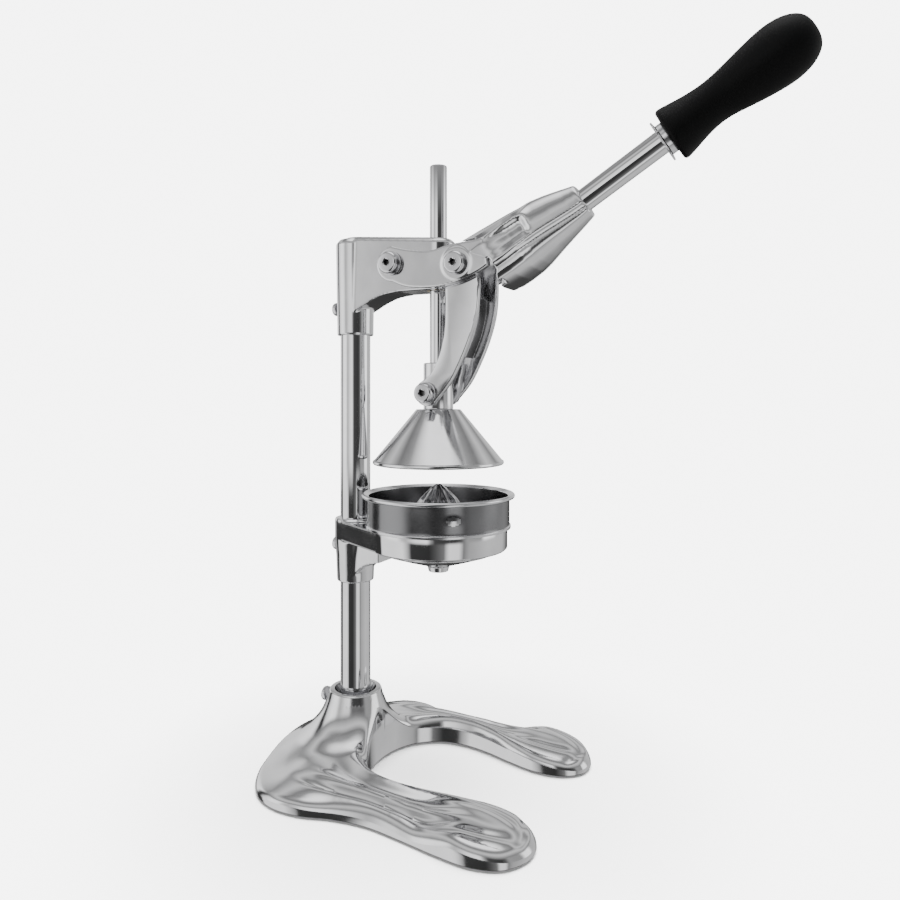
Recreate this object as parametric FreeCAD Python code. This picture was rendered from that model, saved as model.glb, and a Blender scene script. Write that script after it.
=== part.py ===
"""Citrus press juicer: upright stand, hinged lever, guided press cone, strainer cup.

+X points from the column to the user, +Z is up, the XZ plane is the plane of
symmetry. The origin is on the column axis at table level. Millimetres.
"""
import math
import os

import FreeCAD
import Part

V = FreeCAD.Vector

# ---------------------------------------------------------------- dimensions
# axes
ROD_X = 70.0            # guide rod, press cone, cup and funnel axis
PIVOT_X, PIVOT_Z = 46.0, 360.0      # lever pivot in the head
CRANK_X, CRANK_Z = 96.0, 356.4      # lever to link pivot
PIN_Z = 270.6           # link to press pivot, on the rod axis

# stand
COLUMN_R, COLUMN_WALL = 11.1, 1.5
COLUMN_BOTTOM, COLUMN_TOP = 12.0, 372.0
FLOOR_GAP = 1.5         # casting stands this far off the table on its pads
BASE_TOP = 16.0         # height of the legs
BOSS_R, BOSS_TOP = 19.1, 51.4
PAD_R, PAD_THICK = 12.0, 3.0

# head
HEAD_TOP, NOSE_TOP, HEAD_LOW, SOCKET_LOW = 385.5, 379.0, 342.5, 313.4
HEAD_HALF = 12.0
SOCKET_R = 14.4
PIVOT_BOSS_R, PIVOT_BOSS_Y = 9.0, 18.2

# holder, funnel, cup
RING_R, RING_IN_R = 48.4, 45.2
HOLDER_LOW, HOLDER_TOP = 162.3, 176.6
CLAMP_R, CLAMP_LOW = 15.2, 131.5
CUP_R, CUP_WALL, CUP_RIM_R, CUP_RIM_Z = 50.0, 1.2, 53.9, 199.0
CUP_INNER_R, CUP_FLOOR = 41.0, 167.0
REAMER_R, REAMER_APEX, REAMER_RIBS = 29.0, 207.0, 10

# press
ROD_R, ROD_LOW, ROD_TOP = 6.1, 277.6, 430.4
POST_R, POST_TOP = 10.5, 291.8
CONE_R, CONE_RIM_Z, CONE_TOP_R, CONE_TOP_Z = 46.0, 222.6, 15.5, 259.4

# lever and link, distances from the symmetry plane
LINK_IN, LINK_OUT = 13.2, 18.0
EAR_IN, EAR_OUT = 18.6, 24.6
SHANK_R = 4.0
RUN = 0.05              # radial running clearance
GAP = 0.4               # side clearance between moving faces

# handle
TUBE_R = 7.5
HANDLE_DEG = 31.5
HANDLE_X, HANDLE_Z = 177.0, 394.7   # a point of the handle axis at the socket mouth
GRIP_START, GRIP_LEN = 61.0, 93.0


# ------------------------------------------------------------------- helpers
def cyl(r, h, at, axis=V(0, 0, 1)):
    return Part.makeCylinder(r, h, at, axis)


def ycyl(r, y0, y1, x, z):
    """Cylinder along Y between two distances from the symmetry plane."""
    return Part.makeCylinder(r, y1 - y0, V(x, y0, z), V(0, 1, 0))


def box(x0, x1, y0, y1, z0, z1):
    return Part.makeBox(x1 - x0, y1 - y0, z1 - z0, V(x0, y0, z0))


def turned(points, x=0.0, y=0.0):
    """Revolve an (r, z) outline about a vertical axis."""
    pts = [V(x + r, y, z) for r, z in points]
    face = Part.Face(Part.makePolygon(pts + [pts[0]]))
    return face.revolve(V(x, y, 0), V(0, 0, 1), 360)


def spline(points, closed=False):
    curve = Part.BSplineCurve()
    curve.interpolate([V(*p) for p in points], PeriodicFlag=closed)
    return curve.toShape()


def xz_plate(edges, y0, y1):
    """Extrude a closed outline of XZ edges from y0 to y1."""
    face = Part.Face(Part.Wire(Part.__sortEdges__(edges)))
    face.translate(V(0, y0, 0))
    return face.extrude(V(0, y1 - y0, 0))


def xz_points(points):
    return [(x, 0.0, z) for x, z in points]


def segments(points):
    return Part.makePolygon([V(x, 0, z) for x, z in points]).Edges


def one(shapes):
    """Fuse a list into one clean solid."""
    body = shapes[0].multiFuse(shapes[1:]) if len(shapes) > 1 else shapes[0]
    body = body.removeSplitter()
    return body.Solids[0] if len(body.Solids) == 1 else body


def hexagon(across, h, at, axis):
    """Hexagonal prism with its first corner in the XZ plane."""
    r = across / math.sqrt(3)
    pts = [V(r * math.cos(math.radians(60 * k)), r * math.sin(math.radians(60 * k)), 0)
           for k in range(7)]
    prism = Part.Face(Part.makePolygon(pts)).extrude(V(0, 0, h))
    prism.Placement = FreeCAD.Placement(at, FreeCAD.Rotation(V(0, 0, 1), axis))
    return prism


def button_head(r, h, at, axis, socket):
    """Domed screw head with a hexagon socket; 'at' is the middle of its seat."""
    rim = 0.25 * h
    sphere_r = ((h - rim) ** 2 + r * r) / (2 * (h - rim))
    dome = Part.makeSphere(sphere_r, V(0, 0, h - sphere_r)).common(cyl(r, h, V(0, 0, 0)))
    dome = dome.cut(hexagon(socket, h, V(0, 0, 0.45 * h), V(0, 0, 1)))
    dome.Placement = FreeCAD.Placement(at, FreeCAD.Rotation(V(0, 0, 1), axis))
    return dome


def washer(r, bore, y0, y1, x, z):
    return ycyl(r, y0, y1, x, z).cut(ycyl(bore, y0, y1, x, z))


def nut(across, y0, y1, x, z, bore):
    blank = hexagon(across, y1 - y0, V(x, y0, z), V(0, 1, 0))
    return blank.cut(ycyl(bore, y0, y1, x, z))


def set_screw(r_in, r_out, z, shank, head_r):
    """Clamping screw that enters a boss from the rear, along X."""
    body = cyl(shank, r_out - r_in, V(-r_out, 0, z), V(1, 0, 0))
    head = button_head(head_r, 3.4, V(-r_out, 0, z), V(-1, 0, 0), head_r * 0.8)
    return one([body, head])


def on_handle(t, n=0.0):
    """Point of the symmetry plane at t along and n above the handle axis."""
    a = math.radians(HANDLE_DEG)
    return V(HANDLE_X + t * math.cos(a) - n * math.sin(a), 0,
             HANDLE_Z + t * math.sin(a) + n * math.cos(a))


HANDLE_AXIS = on_handle(1) - on_handle(0)
parts = {}

# ---------------------------------------------------------------------- base
# half outline of the horseshoe at table level, from the rear to the crotch
HALF = [(-55, 0), (-53, 28), (-45, 55), (-28, 77), (-8, 86.5), (14, 86.5), (36, 80), (60, 77),
        (86, 79.5), (112, 83), (134, 84), (152, 77.5), (162, 62), (160, 46), (146, 36), (128, 34.5),
        (108, 39), (88, 45), (69, 48), (50, 45.5), (34.5, 35), (25, 19), (22, 0)]
OUTLINE = HALF + [(x, -y) for x, y in HALF[-2:0:-1]]
foot_print = Part.Face(Part.Wire(spline([(x, y, FLOOR_GAP) for x, y in OUTLINE], closed=True)))
flank = foot_print.extrude(V(0, 0, BASE_TOP - FLOOR_GAP))
flank = flank.makeFillet(10, [e for e in flank.Edges if e.BoundBox.ZMin > BASE_TOP - 0.1])
mound = turned([(0, FLOOR_GAP), (47, FLOOR_GAP), (47, 13), (38, 18.5), (30, 27), (24, 37), (21, 45),
                (BOSS_R, BOSS_TOP), (0, BOSS_TOP)])
glass_space = cyl(48.0, 60, V(ROD_X, 0, 0))
bore = cyl(COLUMN_R, 60, V(0, 0, COLUMN_BOTTOM))
mouth = Part.makeCone(COLUMN_R, COLUMN_R + 4.4, 8, V(0, 0, BOSS_TOP - 8))
PADS = {"front_left": (142, 59), "front_right": (142, -59), "rear_left": (-14, 60),
        "rear_right": (-14, -60), "middle": (0, 0)}
base = flank.fuse(mound).cut(glass_space).cut(bore).cut(mouth)
for name, (x, y) in PADS.items():
    base = base.cut(cyl(PAD_R, PAD_THICK - FLOOR_GAP, V(x, y, FLOOR_GAP)))
    parts["pad_" + name] = cyl(PAD_R, PAD_THICK, V(x, y, 0))
base = base.cut(cyl(3.0, 20, V(-30, 0, 42), V(1, 0, 0)))
parts["base_casting"] = base
parts["base_set_screw"] = set_screw(COLUMN_R, 25.2, 42, 3.0, 5.2)

parts["column_tube"] = cyl(COLUMN_R, COLUMN_TOP - COLUMN_BOTTOM, V(0, 0, COLUMN_BOTTOM)).cut(
    cyl(COLUMN_R - COLUMN_WALL, COLUMN_TOP - COLUMN_BOTTOM, V(0, 0, COLUMN_BOTTOM)))

# ---------------------------------------------------------------------- head
arch = spline(xz_points([(0, 327.5), (10, 331.8), (20, 336.8), (31, 340.8), (44, HEAD_LOW)]))
arm = xz_plate(segments([(44, HEAD_LOW), (ROD_X, HEAD_LOW), (ROD_X, NOSE_TOP), (6, HEAD_TOP),
                         (0, HEAD_TOP), (0, 327.5)]) + [arch], -HEAD_HALF, HEAD_HALF)
socket = turned([(0, SOCKET_LOW), (SOCKET_R - 1.0, SOCKET_LOW), (SOCKET_R, HEAD_TOP - 4),
                 (SOCKET_R - 3, HEAD_TOP - 1), (0, HEAD_TOP - 1)])
nose = turned([(0, HEAD_LOW), (HEAD_HALF, HEAD_LOW), (HEAD_HALF, NOSE_TOP - 3.4),
               (HEAD_HALF - 3, NOSE_TOP - 0.4), (0, NOSE_TOP - 0.4)], ROD_X)
# the long upper edges of the arm are bevelled, following its falling top
fall = V(ROD_X - 6, 0, NOSE_TOP - HEAD_TOP)
for s in (1, -1):
    start = V(6, 0, HEAD_TOP) - fall * 0.4
    wedge = [start + V(0, s * y, z) for y, z in ((HEAD_HALF, -3), (HEAD_HALF + 9, -3), (HEAD_HALF + 9, 1.5),
                                                 (HEAD_HALF - 4.5, 1.5), (HEAD_HALF, -3))]
    arm = arm.cut(Part.Face(Part.makePolygon(wedge)).extrude(fall * 1.7))
head = one([arm, socket, nose, ycyl(PIVOT_BOSS_R, -PIVOT_BOSS_Y, PIVOT_BOSS_Y, PIVOT_X, PIVOT_Z)])
BUSH_R = 8.2
head = head.cut(cyl(COLUMN_R, COLUMN_TOP - SOCKET_LOW, V(0, 0, SOCKET_LOW)))
head = head.cut(cyl(BUSH_R, 50, V(ROD_X, 0, HEAD_LOW - 2)))
head = head.cut(ycyl(SHANK_R, -30, 30, PIVOT_X, PIVOT_Z))
head = head.cut(cyl(3.0, 14, V(-24, 0, 334), V(1, 0, 0)))
parts["head_casting"] = head
parts["head_set_screw"] = set_screw(COLUMN_R, 15.6, 334, 3.0, 5.0)
parts["rod_bush"] = cyl(BUSH_R, NOSE_TOP - HEAD_LOW - 1, V(ROD_X, 0, HEAD_LOW)).cut(
    cyl(ROD_R + RUN, 60, V(ROD_X, 0, HEAD_LOW - 5)))

# pivot bolt: shank, domed head on the right side, nut on the left
HEAD_SEAT = EAR_OUT + GAP
parts["pivot_bolt"] = one([ycyl(SHANK_R, -HEAD_SEAT - 1, HEAD_SEAT + 7, PIVOT_X, PIVOT_Z),
                           button_head(7.7, 5.4, V(PIVOT_X, -HEAD_SEAT - 1, PIVOT_Z), V(0, -1, 0), 5)])
parts["pivot_washer_right"] = washer(8.4, SHANK_R, -HEAD_SEAT - 1, -HEAD_SEAT, PIVOT_X, PIVOT_Z)
parts["pivot_washer_left"] = washer(8.4, SHANK_R, HEAD_SEAT, HEAD_SEAT + 1, PIVOT_X, PIVOT_Z)
parts["pivot_nut"] = nut(13, HEAD_SEAT + 1, HEAD_SEAT + 6, PIVOT_X, PIVOT_Z, SHANK_R)

# ------------------------------------------------------------ holder, funnel
ring = turned([(RING_IN_R - 3.2, HOLDER_LOW), (RING_R - 0.8, HOLDER_LOW), (RING_R, HOLDER_LOW + 1),
               (RING_R, HOLDER_TOP), (RING_IN_R, HOLDER_TOP), (RING_IN_R, HOLDER_TOP - 9.6),
               (RING_IN_R - 3.2, HOLDER_TOP - 9.6)], ROD_X)
lean = math.asin((RING_R - CLAMP_R) / ROD_X)
skirt_pts = [(-CLAMP_R * math.sin(lean), CLAMP_R * math.cos(lean)),
             (ROD_X - RING_R * math.sin(lean), RING_R * math.cos(lean))]
skirt_pts += [(x, -y) for x, y in reversed(skirt_pts)]


def skirt(points, z0, z1):
    pts = [V(x, y, z0) for x, y in points]
    return Part.Face(Part.makePolygon(pts + [pts[0]])).extrude(V(0, 0, z1 - z0))


inner_pts = [(x + (6 if i in (0, 3) else 0), y - math.copysign(4.6, y))
             for i, (x, y) in enumerate(skirt_pts)]
web = skirt(skirt_pts, HOLDER_LOW, HOLDER_TOP).cut(skirt(inner_pts, HOLDER_LOW, HOLDER_TOP - 5))
clamp = turned([(0, CLAMP_LOW), (CLAMP_R - 1.6, CLAMP_LOW), (CLAMP_R - 1.0, 150), (CLAMP_R, HOLDER_LOW),
                (CLAMP_R, HOLDER_TOP + 2), (0, HOLDER_TOP + 2)])
gusset = xz_plate(segments([(0, HOLDER_LOW + 4), (0, CLAMP_LOW + 4), (5, CLAMP_LOW + 4)])
                  + [spline(xz_points([(5, CLAMP_LOW + 4), (10, 141), (16, 145.5), (22, 147.5),
                                       (30, 148.5)]))]
                  + segments([(30, 148.5), (30, HOLDER_LOW + 4), (0, HOLDER_LOW + 4)]), -12, 12)
holder = one([ring, web.cut(cyl(RING_IN_R, 60, V(ROD_X, 0, 140))), clamp, gusset])
holder = holder.cut(cyl(RING_IN_R - 3.2, HOLDER_TOP - CLAMP_LOW, V(ROD_X, 0, CLAMP_LOW)))
holder = holder.cut(cyl(COLUMN_R, 80, V(0, 0, CLAMP_LOW - 5)))
holder = holder.cut(cyl(3.0, 14, V(-24, 0, 157.5), V(1, 0, 0)))
parts["cup_holder"] = holder
parts["holder_set_screw"] = set_screw(COLUMN_R, 15.6, 157.5, 3.0, 5.0)

FUNNEL_SEAT = HOLDER_TOP - 9.6
parts["drip_funnel"] = turned([(41.5, FUNNEL_SEAT), (44.6, FUNNEL_SEAT), (44.6, FUNNEL_SEAT + 1.4),
                               (40.6, FUNNEL_SEAT + 1.4), (38.8, 161.5), (24, 156.5), (6.2, 151.2),
                               (5.4, 145.4), (7, 145.4), (8, 149.6), (25, 154.6), (40.6, 159.6),
                               (41.5, 164)], ROD_X)

# --------------------------------------------------------------- cup, reamer
cup = turned([(CUP_INNER_R - 1.4, CUP_FLOOR + 1.6), (0, CUP_FLOOR + 1.6), (0, CUP_FLOOR + 3),
              (CUP_INNER_R - 1.4, CUP_FLOOR + 3), (CUP_INNER_R - 0.2, HOLDER_TOP + 1.4),
              (CUP_R - CUP_WALL, HOLDER_TOP + 1.4), (CUP_R - CUP_WALL, CUP_RIM_Z),
              (CUP_R, CUP_RIM_Z), (CUP_R, HOLDER_TOP), (CUP_INNER_R + 0.8, HOLDER_TOP)], ROD_X)
rim = Part.makeTorus(CUP_RIM_R - 1.9, 1.9, V(ROD_X, 0, CUP_RIM_Z))
lip = cyl(CUP_RIM_R - 1.9, 1.4, V(ROD_X, 0, CUP_RIM_Z - 0.4)).cut(
    cyl(CUP_R - CUP_WALL, 3, V(ROD_X, 0, CUP_RIM_Z - 1)))
cup = one([cup, rim, lip])
SLOTS = 24
for k in range(SLOTS):
    slot = box(31.5, 37.5, -1.1, 1.1, CUP_FLOOR, CUP_FLOOR + 4)
    slot.rotate(V(0, 0, 0), V(0, 0, 1), 360 * k / SLOTS)
    slot.translate(V(ROD_X, 0, 0))
    cup = cup.cut(slot)
parts["strainer_cup"] = cup

REAMER_Z = CUP_FLOOR + 3
body = turned([(0, REAMER_Z), (REAMER_R, REAMER_Z), (REAMER_R - 1, REAMER_Z + 3), (20, 184),
               (11, 197), (4, 204.5), (0, REAMER_APEX)], ROD_X)
ribs = []
for k in range(REAMER_RIBS):
    rib = Part.Face(Part.makePolygon([V(2, 0, REAMER_Z + 1), V(28.4, 0, REAMER_Z + 1), V(22.5, 0, 184.5),
                                      V(13.6, 0, 197.5), V(3, 0, 206), V(2, 0, REAMER_Z + 1)]))
    rib.translate(V(0, -1, 0))
    rib = rib.extrude(V(0, 2, 0))
    rib.rotate(V(0, 0, 0), V(0, 0, 1), 360 * k / REAMER_RIBS)
    rib.translate(V(ROD_X, 0, 0))
    ribs.append(rib)
parts["reamer"] = one([body] + ribs)

# --------------------------------------------------------------------- press
# hollow cone, walled evenly; the post stands on its closed top
parts["press_cone"] = turned([(0, CONE_TOP_Z - 3.4), (CONE_TOP_R - 2.4, CONE_TOP_Z - 3.4),
                              (CONE_R - 3.4, CONE_RIM_Z), (CONE_R - 3.4, CONE_RIM_Z - 1.2),
                              (CONE_R, CONE_RIM_Z - 1.2), (CONE_R, CONE_RIM_Z + 1),
                              (CONE_TOP_R, CONE_TOP_Z), (0, CONE_TOP_Z)], ROD_X).cut(
    cyl(3.0, 10, V(ROD_X, 0, CONE_TOP_Z - 8)))
parts["cone_screw"] = one([cyl(3.0, 8.4, V(ROD_X, 0, CONE_TOP_Z - 3.4)),
                           button_head(6.0, 3.2, V(ROD_X, 0, CONE_TOP_Z - 3.4), V(0, 0, -1), 4)])
post = turned([(0, CONE_TOP_Z), (POST_R, CONE_TOP_Z), (POST_R, POST_TOP - 1), (POST_R - 1, POST_TOP),
               (0, POST_TOP)], ROD_X)
post = post.cut(ycyl(SHANK_R, -20, 20, ROD_X, PIN_Z))
post = post.cut(cyl(ROD_R, 30, V(ROD_X, 0, ROD_LOW)))
parts["rod_post"] = post.cut(cyl(3.0, 5, V(ROD_X, 0, CONE_TOP_Z)))
parts["guide_rod"] = turned([(0, ROD_LOW), (ROD_R, ROD_LOW), (ROD_R, ROD_TOP - 0.8), (ROD_R - 0.8, ROD_TOP),
                             (0, ROD_TOP)], ROD_X)
PIN_SEAT = LINK_OUT + GAP
parts["press_bolt"] = one([ycyl(SHANK_R, -PIN_SEAT - 1, PIN_SEAT + 7, ROD_X, PIN_Z),
                           button_head(6.9, 5.2, V(ROD_X, -PIN_SEAT - 1, PIN_Z), V(0, -1, 0), 5)])
parts["press_nut"] = nut(13, PIN_SEAT + 1, PIN_SEAT + 6, ROD_X, PIN_Z, SHANK_R)
for side, s in (("left", 1), ("right", -1)):
    y0, y1 = sorted((s * PIN_SEAT, s * (PIN_SEAT + 1)))
    parts["press_washer_" + side] = washer(7.6, SHANK_R, y0, y1, ROD_X, PIN_Z)
    y0, y1 = sorted((s * 8.0, s * (LINK_IN - GAP)))
    spacer = washer(6.6, SHANK_R, y0, y1, ROD_X, PIN_Z)
    parts["press_spacer_" + side] = spacer.cut(cyl(POST_R, 40, V(ROD_X, 0, CONE_TOP_Z)))

# ---------------------------------------------------------------------- link
front = spline(xz_points([(108.6, CRANK_Z), (109.0, 341), (107.6, 325), (103.2, 309), (96.4, 293),
                          (88.2, 278), (78.2, 266.4)]))
rear = spline(xz_points([(83.4, CRANK_Z), (84.4, 335), (83.8, 313), (80, 297), (73.5, 284.5),
                         (66, 278.7)]))
EYE_R, LINK_BUSH_R = 9.0, 5.6
link = []
for s in (1, -1):
    y0, y1 = sorted((s * LINK_IN, s * LINK_OUT))
    plate = xz_plate([front, rear] + segments([(83.4, CRANK_Z), (108.6, CRANK_Z)])
                     + segments([(78.2, 266.4), (ROD_X, PIN_Z), (66, 278.7)]), y0, y1)
    link += [plate, ycyl(EYE_R, y0, y1, ROD_X, PIN_Z), ycyl(12.6, y0, y1, CRANK_X, CRANK_Z)]
web = xz_plate([spline(xz_points([(102, 336), (101, 325), (96.8, 309.5), (90.5, 295)])),
                spline(xz_points([(98, 336), (97, 325.5), (92.9, 311), (87, 297)]))]
               + segments([(102, 336), (98, 336)]) + segments([(90.5, 295), (87, 297)]),
               -LINK_IN - 1, LINK_IN + 1)
link = one(link + [web]).cut(ycyl(LINK_BUSH_R, -30, 30, ROD_X, PIN_Z))
parts["link_yoke"] = link
for side, s in (("left", 1), ("right", -1)):
    y0, y1 = sorted((s * LINK_IN, s * LINK_OUT))
    parts["link_bush_" + side] = washer(LINK_BUSH_R, SHANK_R + RUN, y0, y1, ROD_X, PIN_Z)

# --------------------------------------------------------------------- lever
# body sections across the handle axis: (t, top, bottom, half width, height of the sharp side
# edge, belly squareness)
SECTIONS = [(-90, 30.0, -17.0, 24.6, -4.6, 2.2), (-70, 27.2, -19.0, 24.6, -5.0, 2.2),
            (-50, 23.9, -19.2, 24.0, -4.6, 2.2), (-36, 21.5, -17.3, 20.8, -3.8, 2.2),
            (-22, 18.4, -14.9, 16.4, -3.6, 2.1), (-11, 14.8, -13.0, 13.2, -3.4, 2.1),
            (-2, 11.2, -10.6, 11.0, -3.0, 2.0)]


def hull_section(t, top, bottom, half, waist, square):
    pts = []
    for k in range(24):
        a = 2 * math.pi * k / 24
        c, s = math.cos(a), math.sin(a)
        power = 2 / (1.35 if s > 0 else square)
        y = half * math.copysign(abs(c) ** power, c) if abs(c) > 1e-9 else 0.0
        reach = (top - waist) if s > 0 else (waist - bottom)
        n = waist + reach * (math.copysign(abs(s) ** power, s) if abs(s) > 1e-9 else 0.0)
        p = on_handle(t, n)
        pts.append((p.x, y, p.z))
    return Part.Wire(spline(pts, closed=True))


hull = Part.makeLoft([hull_section(*row) for row in SECTIONS], True)
# the body ends behind the crank; a narrow tongue of it runs on between the link plates, and a
# wedge-shaped room on each side of the tongue lets those plates swing under the body
TONGUE = 12.2
rear_cut = xz_plate(segments([(60, 300), (122.5, 300), (122.5, 339), (124, 350), (119.5, 358), (96, 366),
                              (90, 371), (60, 371), (60, 300)]), -40, 40)
centre_room = xz_plate(segments([(60, 300), (122.5, 300), (122.5, 339), (124, 350), (119, 362), (106, 373),
                                 (60, 371), (60, 300)]), -TONGUE - 0.1, TONGUE + 0.1)
plate_room = segments([(60, 300), (134.5, 300), (134.5, 322), (129, 338.5), (124.5, 350), (119, 362),
                       (106, 373), (60, 371), (60, 300)])
rod_room = box(60, 101.5, -8.6, 8.6, 300, 430)
hull = hull.cut(rear_cut).cut(centre_room).cut(rod_room).cut(box(50, 88, -40, 40, 300, 430))
for s in (1, -1):
    y0, y1 = sorted((s * TONGUE, s * EAR_IN))
    hull = hull.cut(xz_plate(plate_room, y0, y1))
ear_top = spline(xz_points([(PIVOT_X, PIVOT_Z + 12.2), (60, 368.6), (76, 366.6), (88, 369.0),
                            (100, 370.2), (110, 371), (120, 374.5), (127, 378)]))
ear_low = spline(xz_points([(PIVOT_X, PIVOT_Z - 12.2), (62, 342.6), (75, 341.7), (87, 342.6), (101, 345.6),
                            (112, 349.8), (122, 354.6), (129, 359)]))
lever = [hull]
for s in (1, -1):
    y0, y1 = sorted((s * EAR_IN, s * EAR_OUT))
    ear = xz_plate([ear_top, ear_low] + segments([(PIVOT_X, PIVOT_Z - 12.2), (PIVOT_X, PIVOT_Z + 12.2)])
                   + segments([(127, 378), (129, 359)]), y0, y1)
    lever += [ear, ycyl(12.2, y0, y1, PIVOT_X, PIVOT_Z), ycyl(12.4, y0, y1, CRANK_X, CRANK_Z)]
lever = one(lever)
PIVOT_BUSH_R, SCREW_R = 6.2, 4.0
lever = lever.cut(ycyl(PIVOT_BUSH_R, -30, 30, PIVOT_X, PIVOT_Z)).cut(ycyl(SCREW_R, -30, 30, CRANK_X, CRANK_Z))
TUBE_IN = -36.0
lever = lever.cut(cyl(TUBE_R, 60, on_handle(TUBE_IN), HANDLE_AXIS))
parts["lever_casting"] = lever
for side, s in (("left", 1), ("right", -1)):
    y0, y1 = sorted((s * EAR_IN, s * EAR_OUT))
    parts["pivot_bush_" + side] = washer(PIVOT_BUSH_R, SHANK_R + RUN, y0, y1, PIVOT_X, PIVOT_Z)
    parts["link_screw_" + side] = one([
        ycyl(SCREW_R, y0, y1, CRANK_X, CRANK_Z),
        button_head(7.7, 5.4, V(CRANK_X, s * EAR_OUT, CRANK_Z), V(0, s, 0), 5)])

# -------------------------------------------------------------------- handle
TUBE_END = GRIP_START + 70
parts["handle_tube"] = cyl(TUBE_R, TUBE_END - TUBE_IN, on_handle(TUBE_IN), HANDLE_AXIS).cut(
    cyl(TUBE_R - 1.5, TUBE_END - TUBE_IN, on_handle(TUBE_IN), HANDLE_AXIS))


def along_handle(points):
    """Revolve a (t, r) outline about the handle axis."""
    pts = [on_handle(t, r) for t, r in points]
    face = Part.Face(Part.makePolygon(pts + [pts[0]]))
    return face.revolve(on_handle(0), HANDLE_AXIS, 360)


GRIP = [(0, 16.6), (2.2, 17.2), (10, 16.0), (20, 14.2), (30, 13.6), (42, 14.6), (56, 16.6),
        (68, 18.0), (78, 17.8), (86, 15.0), (91, 9.6), (GRIP_LEN, 4.0)]
grip = along_handle([(GRIP_START, 0)] + [(GRIP_START + t, r) for t, r in GRIP] + [(GRIP_START + GRIP_LEN, 0)])
parts["grip"] = grip.cut(cyl(TUBE_R, 70, on_handle(GRIP_START), HANDLE_AXIS))
disc = cyl(13.4, 1.2, on_handle(GRIP_START - 5.6), HANDLE_AXIS)
collar = cyl(10.2, 5.6, on_handle(GRIP_START - 5.6), HANDLE_AXIS)
parts["grip_washer"] = one([disc, collar]).cut(cyl(TUBE_R, 20, on_handle(GRIP_START - 10), HANDLE_AXIS))

# -------------------------------------------------------------------- export
os.makedirs("parts", exist_ok=True)
for name, shape in parts.items():
    shape.exportStep("parts/" + name + ".step")
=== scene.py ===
import math

import bmesh
import bpy
import numpy as np
from mathutils import Matrix, Vector
from mathutils.geometry import delaunay_2d_cdt


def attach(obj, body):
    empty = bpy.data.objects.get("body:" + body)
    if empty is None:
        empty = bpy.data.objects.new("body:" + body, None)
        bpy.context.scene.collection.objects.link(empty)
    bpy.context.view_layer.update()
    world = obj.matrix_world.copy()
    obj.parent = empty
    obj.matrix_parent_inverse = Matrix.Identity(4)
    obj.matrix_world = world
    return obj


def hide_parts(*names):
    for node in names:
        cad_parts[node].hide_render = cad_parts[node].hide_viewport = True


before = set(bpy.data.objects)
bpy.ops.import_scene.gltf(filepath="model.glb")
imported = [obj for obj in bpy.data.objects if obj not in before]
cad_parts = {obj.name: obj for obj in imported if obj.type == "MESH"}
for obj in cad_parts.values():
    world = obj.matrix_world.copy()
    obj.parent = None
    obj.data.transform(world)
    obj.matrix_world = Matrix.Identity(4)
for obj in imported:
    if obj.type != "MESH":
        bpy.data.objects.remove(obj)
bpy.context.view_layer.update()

MM = 0.001

# ---- frame numbers
# millimetres; Z is up from the table, and X runs from the column towards the user
ROD_X = 70.0  # axis of the cup, cone and guide rod
PIVOT = (46.0, 360.0)  # X and Z of the lever's pivot bolt
CRANK = (96.0, 356.4)  # X and Z of the link's upper screws
PIN_Z = 270.6  # height of the press bolt, which is on the rod's axis
HANDLE = math.radians(31.5)  # slope of the handle
HANDLE_AT = (177.0, 394.7)  # X and Z where the handle leaves the lever casting
BOLT_R = 4.0  # pivot bolt, press bolt and link screws

# A turned outline starts and ends just off its axis, so that it has no needle-thin faces there.
HUB = 0.01  # solids that are joined or cut
TIP = 0.02  # visible pieces


# ---- materials
def nodes_of(name):
    """New node material, its tree and its Principled BSDF."""
    mat = bpy.data.materials.new(name)
    mat.use_nodes = True
    tree = mat.node_tree
    return mat, tree, tree.nodes["Principled BSDF"]


def add(tree, kind, **values):
    """New node; each value sets a property of that name, or else the input it names."""
    node = tree.nodes.new(kind)
    for key, value in values.items():
        if hasattr(node, key):
            setattr(node, key, value)
        else:
            node.inputs[key.replace("_", " ")].default_value = value
    return node


def ramp(tree, source, stops):
    """Colour ramp over a value; stops are (position, grey level or RGBA)."""
    node = tree.nodes.new("ShaderNodeValToRGB")
    while len(node.color_ramp.elements) < len(stops):
        node.color_ramp.elements.new(0.5)
    for element, (at, value) in zip(node.color_ramp.elements, stops):
        element.position = at
        element.color = value if isinstance(value, tuple) else (value, value, value, 1)
    tree.links.new(source, node.inputs["Fac"])
    return node.outputs["Color"]


def place(tree, stretch=(1, 1, 1)):
    """Object coordinates, stretched to draw grain out along an axis."""
    coord = tree.nodes.new("ShaderNodeTexCoord")
    mapping = tree.nodes.new("ShaderNodeMapping")
    mapping.inputs["Scale"].default_value = stretch
    tree.links.new(coord.outputs["Object"], mapping.inputs["Vector"])
    return mapping.outputs["Vector"]


def noise(tree, vector, scale, detail=3.0, rough=0.5):
    node = add(tree, "ShaderNodeTexNoise", Scale=scale, Detail=detail, Roughness=rough)
    tree.links.new(vector, node.inputs["Vector"])
    return node.outputs["Fac"]


def bump(tree, height, distance, strength, under=None):
    node = add(tree, "ShaderNodeBump", Distance=distance, Strength=strength)
    tree.links.new(height, node.inputs["Height"])
    if under is not None:
        tree.links.new(under, node.inputs["Normal"])
    return node.outputs["Normal"]


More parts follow.
